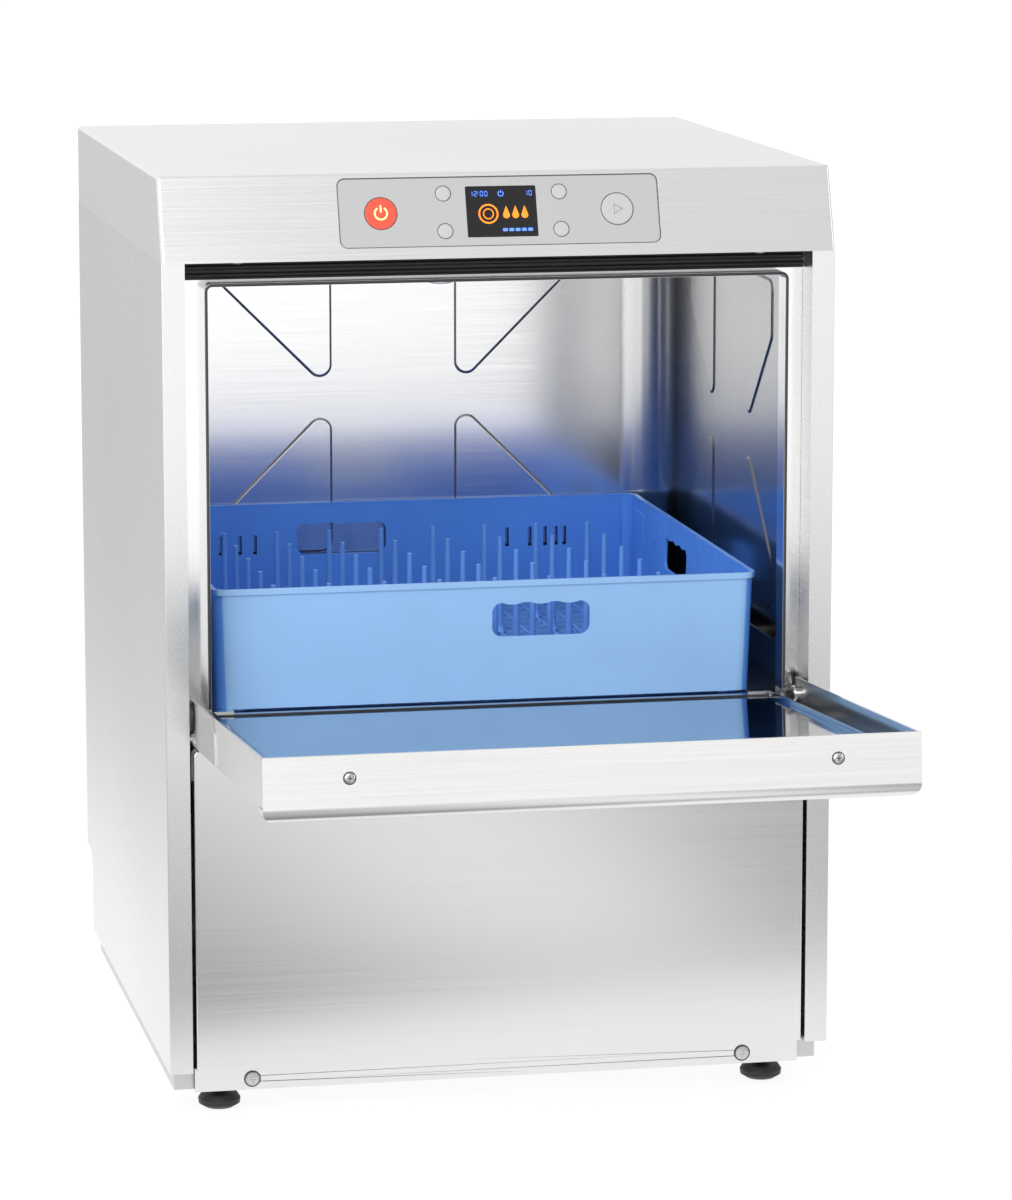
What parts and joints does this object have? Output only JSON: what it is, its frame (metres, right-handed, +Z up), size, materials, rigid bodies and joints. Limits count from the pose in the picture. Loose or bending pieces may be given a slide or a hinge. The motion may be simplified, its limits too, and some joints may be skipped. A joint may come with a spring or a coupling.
{
  "type": "undercounter dishwasher",
  "caption": "Front-loading undercounter commercial dishwasher with a drop-down door, sliding peg rack, spray arms and a sloping control strip.",
  "frame": {"origin": "middle of the footprint on the floor, with the door open", "axes": "+Z up, front towards -Y, +X to the right seen from the front"},
  "size_m": [0.6, 0.9875, 0.8355],
  "materials": {
    "casing_steel": "fine vertical brush",
    "hood_steel": "fine brush",
    "tank_steel": "satin drawn sheet",
    "mirror_steel": "polished",
    "frame_steel": "mill finish",
    "screw_steel": "bright",
    "black_rubber": "matt moulded",
    "black_plastic": "moulded",
    "fascia_grey": "fine matt film",
    "button_grey": "satin",
    "button_coral": "satin, backlit",
    "screen_black": "gloss, lit",
    "board_green": "solder mask",
    "rack_blue": "satin moulded",
    "pump_grey": "moulded",
    "hose_grey": "moulded",
    "arm_steel": "satin",
    "valve_brass": "cast"
  },
  "bodies": {
    "casing": {"hood_cover": "hood_steel", "side_panel_left": "casing_steel", "side_panel_right": "casing_steel", "rear_panel": "casing_steel", "lower_front_panel": "casing_steel", "base_sill": "casing_steel", "base_frame": "frame_steel", "casing_screws": "screw_steel", "wash_tank": "tank_steel", "front_frame": "tank_steel", "top_seal": "black_rubber", "rack_rails": "tank_steel", "arm_spindles": "arm_steel", "surface_strainers": "tank_steel", "suction_filter": "tank_steel", "tank_heater": "screw_steel", "wash_pump_housing": "pump_grey", "wash_pump_motor": "pump_grey", "suction_hose": "hose_grey", "delivery_pipe": "hose_grey", "drain_pump": "pump_grey", "rinse_boiler": "frame_steel", "solenoid_valve": "black_plastic", "water_inlet": "valve_brass", "cable_gland": "black_plastic", "air_gap": "pump_grey", "dosing_pumps": "pump_grey", "electrical_box": "black_plastic", "door_switch": "black_plastic", "hinge_bushes": "black_plastic", "hinge_brackets": "frame_steel", "door_springs": "screw_steel", "control_fascia": "fascia_grey", "display_screen": "screen_black", "control_board": "board_green"},
    "door": {"door_outer_skin": "casing_steel", "door_inner_pan": "mirror_steel", "door_handle_edge": "casing_steel", "door_screws": "screw_steel", "hinge_arms": "frame_steel", "hinge_cranks": "screw_steel", "door_magnet": "black_plastic"},
    "rack": {"rack_walls": "rack_blue", "rack_floor": "rack_blue", "rack_pegs": "rack_blue"},
    "pump_rotor": {"pump_impeller": "black_plastic"},
    "lower_wash_arm": {"lower_wash_arm": "arm_steel"},
    "lower_rinse_arm": {"lower_rinse_arm": "arm_steel"},
    "upper_wash_arm": {"upper_wash_arm": "arm_steel"},
    "upper_rinse_arm": {"upper_rinse_arm": "arm_steel"},
    "power_button": {"power_button": "button_coral"},
    "start_button": {"start_button": "button_grey"},
    "select_button_1": {"select_button_1": "button_grey"},
    "select_button_2": {"select_button_2": "button_grey"},
    "select_button_3": {"select_button_3": "button_grey"},
    "select_button_4": {"select_button_4": "button_grey"},
    "foot_front_left": {"foot_front_left": "black_rubber"},
    "foot_front_right": {"foot_front_right": "black_rubber"},
    "foot_rear_left": {"foot_rear_left": "black_rubber"},
    "foot_rear_right": {"foot_rear_right": "black_rubber"}
  },
  "joints": [
    {"name": "door_hinge", "type": "hinge", "parent": "casing", "child": "door", "pos_m": [0, -0.0969, 0.3617], "axis": [-1, 0, 0], "range_deg": [0, 86], "deforming": ["door_springs"]},
    {"name": "rack_slide", "type": "slide", "parent": "casing", "child": "rack", "axis": [0, 0.9976, -0.0698], "range_m": [-0.33, 0]},
    {"name": "lower_wash_arm_spin", "type": "hinge", "parent": "casing", "child": "lower_wash_arm", "pos_m": [0, 0.1838, 0.333], "axis": [0, 0, 1], "continuous": true},
    {"name": "lower_rinse_arm_spin", "type": "hinge", "parent": "casing", "child": "lower_rinse_arm", "pos_m": [0, 0.1838, 0.35], "axis": [0, 0, 1], "continuous": true},
    {"name": "upper_wash_arm_spin", "type": "hinge", "parent": "casing", "child": "upper_wash_arm", "pos_m": [0, 0.1838, 0.729], "axis": [0, 0, 1], "continuous": true},
    {"name": "upper_rinse_arm_spin", "type": "hinge", "parent": "casing", "child": "upper_rinse_arm", "pos_m": [0, 0.1838, 0.716], "axis": [0, 0, 1], "continuous": true},
    {"name": "pump_spin", "type": "hinge", "parent": "casing", "child": "pump_rotor", "pos_m": [0, 0.1838, 0.13], "axis": [1, 0, 0], "continuous": true},
    {"name": "power_button_press", "type": "slide", "parent": "casing", "child": "power_button", "axis": [0, 0.9415, -0.3369], "range_m": [0, 0.001], "stiffness_N_per_m": 500, "springref_m": -0.0005},
    {"name": "start_button_press", "type": "slide", "parent": "casing", "child": "start_button", "axis": [0, 0.9415, -0.3369], "range_m": [0, 0.001], "stiffness_N_per_m": 500, "springref_m": -0.0005},
    {"name": "select_button_1_press", "type": "slide", "parent": "casing", "child": "select_button_1", "axis": [0, 0.9415, -0.3369], "range_m": [0, 0.001], "stiffness_N_per_m": 500, "springref_m": -0.0005},
    {"name": "select_button_2_press", "type": "slide", "parent": "casing", "child": "select_button_2", "axis": [0, 0.9415, -0.3369], "range_m": [0, 0.001], "stiffness_N_per_m": 500, "springref_m": -0.0005},
    {"name": "select_button_3_press", "type": "slide", "parent": "casing", "child": "select_button_3", "axis": [0, 0.9415, -0.3369], "range_m": [0, 0.001], "stiffness_N_per_m": 500, "springref_m": -0.0005},
    {"name": "select_button_4_press", "type": "slide", "parent": "casing", "child": "select_button_4", "axis": [0, 0.9415, -0.3369], "range_m": [0, 0.001], "stiffness_N_per_m": 500, "springref_m": -0.0005},
    {"name": "foot_front_left_level", "type": "slide", "parent": "casing", "child": "foot_front_left", "axis": [0, 0, -1], "range_m": [0, 0.02]},
    {"name": "foot_front_right_level", "type": "slide", "parent": "casing", "child": "foot_front_right", "axis": [0, 0, -1], "range_m": [0, 0.02]},
    {"name": "foot_rear_left_level", "type": "slide", "parent": "casing", "child": "foot_rear_left", "axis": [0, 0, -1], "range_m": [0, 0.02]},
    {"name": "foot_rear_right_level", "type": "slide", "parent": "casing", "child": "foot_rear_right", "axis": [0, 0, -1], "range_m": [0, 0.02]}
  ]
}
